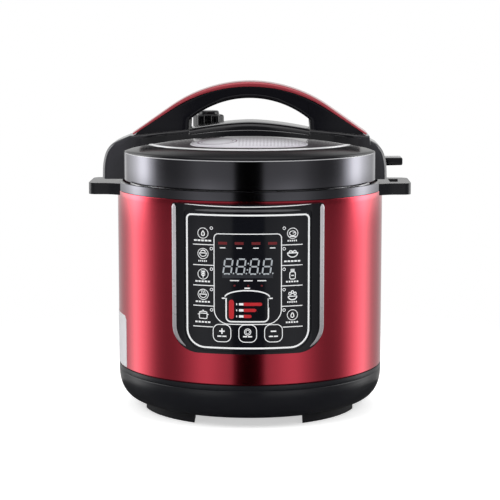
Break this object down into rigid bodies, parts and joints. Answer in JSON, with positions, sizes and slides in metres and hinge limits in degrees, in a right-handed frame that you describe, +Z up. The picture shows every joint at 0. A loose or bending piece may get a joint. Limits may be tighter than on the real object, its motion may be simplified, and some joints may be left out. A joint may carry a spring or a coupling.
{
  "type": "electric pressure cooker",
  "caption": "Countertop pressure cooker with a red body, curved control panel, side grips, lift-out pot, turn-lock lid with arched handle, and steam release knob.",
  "frame": {"origin": "on the pot's axis, at the plane the feet stand on", "axes": "+Z up, -Y the front with the control panel, +X to the right as seen from the front"},
  "size_m": [0.323, 0.2987, 0.33],
  "materials": {
    "black_plastic": "satin black moulding",
    "gloss_black": "glossy black moulding",
    "foot_rubber": "matt",
    "red_metal": "glossy metallic red lacquer",
    "red_strip": "glossy red moulding",
    "gunmetal": "satin dark grey lacquer",
    "silver_trim": "satin bright",
    "steel": "brushed",
    "screw_steel": "plain",
    "cast_aluminium": "as cast",
    "spring_steel": "drawn wire",
    "board_green": "solder mask",
    "component": "moulded and wound parts",
    "pale_plastic": "plain",
    "dark_part": "plain",
    "film": "glossy printed film",
    "key_plastic": "glossy",
    "label": "plain pale film",
    "silver_plate": "satin silver",
    "disc_grey": "glossy dark grey",
    "clear_cup": "clear smoke-tinted plastic",
    "silicone": "translucent silicone",
    "red_silicone": "silicone"
  },
  "bodies": {
    "cooker": {"base_pan": "black_plastic", "feet": "foot_rubber", "foot_screws": "screw_steel", "outer_shell": "red_metal", "collar": "black_plastic", "collar_band": "gunmetal", "drain_spout": "black_plastic", "pressure_well": "steel", "support_posts": "steel", "heater_plate": "cast_aluminium", "heater_terminals": "screw_steel", "thermal_fuse": "pale_plastic", "pressure_switch": "pale_plastic", "power_board": "board_green", "power_parts": "component", "control_board": "board_green", "display_module": "dark_part", "tact_switches": "dark_part", "panel_screws": "screw_steel", "panel_bezel": "gloss_black", "panel_film": "film", "panel_trims": "silver_trim", "power_inlet": "black_plastic", "inlet_pins": "screw_steel", "cup_bracket": "black_plastic", "blank_label": "label", "sensor_spring": "spring_steel"},
    "plus_key": {"key_up": "key_plastic"},
    "stop_key": {"key_stop": "key_plastic"},
    "minus_key": {"key_down": "key_plastic"},
    "sensor": {"sensor_cap": "cast_aluminium"},
    "cup": {"condensation_cup": "clear_cup"},
    "pot": {"inner_pot": "steel"},
    "seal": {"sealing_ring": "silicone"},
    "lid": {"gasket_rack": "steel", "lid_plate": "steel", "lid_cover": "gloss_black", "lid_band": "gunmetal", "lid_disc": "disc_grey", "disc_ring": "silver_trim", "lid_label": "silver_plate", "handle_bridge": "gloss_black", "handle_arch": "gloss_black", "handle_strip": "red_strip", "handle_screws": "screw_steel", "exhaust_pipe": "screw_steel", "exhaust_nut": "screw_steel", "steam_shield": "steel"},
    "float": {"float_valve": "screw_steel", "float_seal": "red_silicone"},
    "weight": {"valve_weight": "screw_steel"},
    "knob": {"release_knob": "black_plastic"}
  },
  "joints": [
    {"name": "pot_lift", "type": "slide", "parent": "cooker", "child": "pot", "axis": [0, 0, 1], "range_m": [0, 0.19]},
    {"name": "lid_lift", "type": "slide", "parent": "pot", "child": "seal", "axis": [0, 0, 1], "range_m": [0, 0.14]},
    {"name": "lid_turn", "type": "hinge", "parent": "seal", "child": "lid", "pos_m": [0, 0, 0.245], "axis": [0, 0, 1], "range_deg": [0, 30]},
    {"name": "valve_lift", "type": "slide", "parent": "lid", "child": "weight", "axis": [0, 0, 1], "range_m": [0, 0.03]},
    {"name": "knob_turn", "type": "hinge", "parent": "weight", "child": "knob", "pos_m": [-0.044, 0.055, 0.28], "axis": [0, 0, 1], "range_deg": [0, 45]},
    {"name": "float_rise", "type": "slide", "parent": "lid", "child": "float", "axis": [0, 0, 1], "range_m": [0, 0.005]},
    {"name": "plus_key_press", "type": "slide", "parent": "cooker", "child": "plus_key", "axis": [0, 1, 0], "range_m": [0, 0.0006], "stiffness_N_per_m": 1500},
    {"name": "stop_key_press", "type": "slide", "parent": "cooker", "child": "stop_key", "axis": [0, 1, 0], "range_m": [0, 0.0006], "stiffness_N_per_m": 1500},
    {"name": "minus_key_press", "type": "slide", "parent": "cooker", "child": "minus_key", "axis": [0, 1, 0], "range_m": [0, 0.0006], "stiffness_N_per_m": 1500},
    {"name": "sensor_press", "type": "slide", "parent": "cooker", "child": "sensor", "axis": [0, 0, -1], "range_m": [0, 0.003], "stiffness_N_per_m": 400, "springref_m": -0.003, "deforming": ["sensor_spring"]},
    {"name": "cup_off", "type": "slide", "parent": "cooker", "child": "cup", "axis": [0, 1, 0], "range_m": [0, 0.035]}
  ]
}
